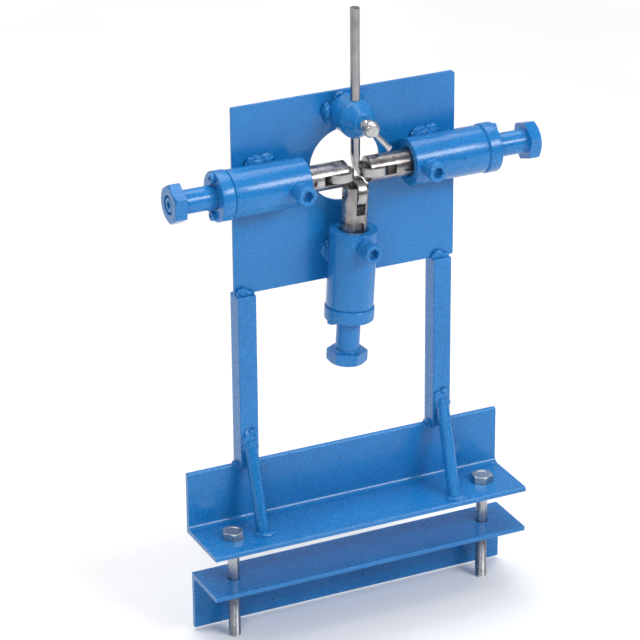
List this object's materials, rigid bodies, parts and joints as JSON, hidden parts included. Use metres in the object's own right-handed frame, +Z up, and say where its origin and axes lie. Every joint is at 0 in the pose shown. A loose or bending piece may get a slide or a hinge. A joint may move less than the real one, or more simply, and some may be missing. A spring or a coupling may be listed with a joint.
{
  "type": "bench cable stripper",
  "caption": "Table-edge cable and wire stripper: welded frame with screw-adjusted roller plungers around a nip, an upright blade rod above it and a bolted under-table clamp.",
  "frame": {"origin": "underside of the upper angle iron, where it rests on the table top: in the middle of its length and in line with the front of the face plate", "axes": "+Z up from the table top, +X to the user's right along the table clamp, -Y towards the user who feeds or pulls the cable at the front"},
  "size_m": [0.331, 0.0651, 0.538],
  "materials": {
    "blue_enamel": "glossy enamel",
    "bare_steel": "turned, bare, slightly oily",
    "bearing_steel": "ground",
    "polished_steel": "polished",
    "zinc_plate": "bright zinc plate"
  },
  "bodies": {
    "frame": {"base_angle": "blue_enamel", "post_left": "blue_enamel", "post_right": "blue_enamel", "brace_left": "blue_enamel", "brace_right": "blue_enamel", "mounting_plate": "blue_enamel", "barrel_left": "blue_enamel", "barrel_right": "blue_enamel", "barrel_lower": "blue_enamel", "cap_left": "blue_enamel", "cap_right": "blue_enamel", "cap_lower": "blue_enamel", "cap_screws_left": "blue_enamel", "cap_screws_right": "blue_enamel", "cap_screws_lower": "blue_enamel", "guide_boss_left": "blue_enamel", "guide_boss_right": "blue_enamel", "guide_boss_lower": "blue_enamel", "guide_screw_left": "blue_enamel", "guide_screw_right": "blue_enamel", "guide_screw_lower": "blue_enamel", "blade_collar": "blue_enamel"},
    "plunger_left": {"plunger_left": "bare_steel", "roller_pin_left": "bare_steel", "inner_ring_left": "bearing_steel", "draw_screw_left": "blue_enamel"},
    "bolt_left": {"pressure_bolt_left": "blue_enamel"},
    "roller_left": {"outer_ring_left": "bearing_steel", "shields_left": "bearing_steel"},
    "balls_left": {"balls_left": "bearing_steel"},
    "plunger_right": {"plunger_right": "bare_steel", "roller_pin_right": "bare_steel", "inner_ring_right": "bearing_steel", "draw_screw_right": "blue_enamel"},
    "bolt_right": {"pressure_bolt_right": "blue_enamel"},
    "roller_right": {"outer_ring_right": "bearing_steel", "shields_right": "bearing_steel"},
    "balls_right": {"balls_right": "bearing_steel"},
    "plunger_lower": {"plunger_lower": "bare_steel", "roller_pin_lower": "bare_steel", "inner_ring_lower": "bearing_steel", "draw_screw_lower": "blue_enamel"},
    "bolt_lower": {"pressure_bolt_lower": "blue_enamel"},
    "roller_lower": {"outer_ring_lower": "bearing_steel", "shields_lower": "bearing_steel"},
    "balls_lower": {"balls_lower": "bearing_steel"},
    "blade": {"blade_rod": "polished_steel"},
    "tee_screw": {"tee_screw": "zinc_plate"},
    "tommy_bar": {"tommy_bar": "zinc_plate"},
    "clamp": {"clamp_angle": "blue_enamel", "clamp_nut_left": "blue_enamel", "clamp_nut_right": "blue_enamel"},
    "clamp_bolt_left": {"clamp_bolt_left": "zinc_plate"},
    "clamp_bolt_right": {"clamp_bolt_right": "zinc_plate"}
  },
  "joints": [
    {"name": "plunger_slide_left", "type": "slide", "parent": "frame", "child": "plunger_left", "axis": [1, 0, 0], "range_m": [-0.015, 0.001]},
    {"name": "bolt_turn_left", "type": "hinge", "parent": "plunger_left", "child": "bolt_left", "pos_m": [-0.155, -0.0195, 0.31], "axis": [1, 0, 0], "range_deg": [-2160, 144]},
    {"name": "roller_spin_left", "type": "hinge", "parent": "plunger_left", "child": "roller_left", "pos_m": [-0.0155, -0.0195, 0.31], "axis": [0, 0, 1], "continuous": true},
    {"name": "balls_spin_left", "type": "hinge", "parent": "plunger_left", "child": "balls_left", "pos_m": [-0.0155, -0.0195, 0.31], "axis": [0, 0, 1], "continuous": true},
    {"name": "plunger_slide_right", "type": "slide", "parent": "frame", "child": "plunger_right", "axis": [-1, 0, 0], "range_m": [-0.015, 0.001]},
    {"name": "bolt_turn_right", "type": "hinge", "parent": "plunger_right", "child": "bolt_right", "pos_m": [0.155, -0.0195, 0.31], "axis": [-1, 0, 0], "range_deg": [-2160, 144]},
    {"name": "roller_spin_right", "type": "hinge", "parent": "plunger_right", "child": "roller_right", "pos_m": [0.0155, -0.0195, 0.31], "axis": [0, 0, 1], "continuous": true},
    {"name": "balls_spin_right", "type": "hinge", "parent": "plunger_right", "child": "balls_right", "pos_m": [0.0155, -0.0195, 0.31], "axis": [0, 0, 1], "continuous": true},
    {"name": "plunger_slide_lower", "type": "slide", "parent": "frame", "child": "plunger_lower", "axis": [0.0576, 0, 0.9983], "range_m": [-0.015, 0.0003]},
    {"name": "bolt_turn_lower", "type": "hinge", "parent": "plunger_lower", "child": "bolt_lower", "pos_m": [-0.00792, -0.0195, 0.15266], "axis": [0.0576, 0, 0.9983], "range_deg": [-2160, 43.2]},
    {"name": "roller_spin_lower", "type": "hinge", "parent": "plunger_lower", "child": "roller_lower", "pos_m": [0.00011, -0.0195, 0.29193], "axis": [0.9959, 0.0698, -0.0574], "continuous": true},
    {"name": "balls_spin_lower", "type": "hinge", "parent": "plunger_lower", "child": "balls_lower", "pos_m": [0.00011, -0.0195, 0.29193], "axis": [0.9959, 0.0698, -0.0574], "continuous": true},
    {"name": "blade_slide", "type": "slide", "parent": "frame", "child": "blade", "axis": [0, 0, 1], "range_m": [-0.0005, 0.06]},
    {"name": "tee_turn", "type": "hinge", "parent": "frame", "child": "tee_screw", "pos_m": [0, -0.048, 0.356], "axis": [0, -1, 0], "range_deg": [0, 720]},
    {"name": "tommy_slide", "type": "slide", "parent": "tee_screw", "child": "tommy_bar", "axis": [-0.6494, 0, 0.7604], "range_m": [0, 0.017]},
    {"name": "clamp_bolt_turn_left", "type": "hinge", "parent": "frame", "child": "clamp_bolt_left", "pos_m": [-0.118, -0.026, 0.0045], "axis": [0, 0, -1], "range_deg": [-9120, 6600]},
    {"name": "clamp_bolt_turn_right", "type": "hinge", "parent": "frame", "child": "clamp_bolt_right", "pos_m": [0.118, -0.026, 0.0045], "axis": [0, 0, -1], "range_deg": [-9120, 6600]},
    {"name": "clamp_slide", "type": "slide", "parent": "frame", "child": "clamp", "axis": [0, 0, 1], "range_m": [-0.038, 0.0275]}
  ],
  "couplings": [
    {"joint": "bolt_turn_left", "follows": "plunger_slide_left", "rad_per_m": 2513.3},
    {"joint": "balls_spin_left", "follows": "roller_spin_left", "ratio": 0.6322},
    {"joint": "bolt_turn_right", "follows": "plunger_slide_right", "rad_per_m": 2513.3},
    {"joint": "balls_spin_right", "follows": "roller_spin_right", "ratio": 0.6322},
    {"joint": "bolt_turn_lower", "follows": "plunger_slide_lower", "rad_per_m": 2513.3},
    {"joint": "balls_spin_lower", "follows": "roller_spin_lower", "ratio": 0.6322},
    {"joint": "clamp_bolt_turn_left", "follows": "clamp_slide", "rad_per_m": 4188.8},
    {"joint": "clamp_bolt_turn_right", "follows": "clamp_slide", "rad_per_m": 4188.8}
  ]
}
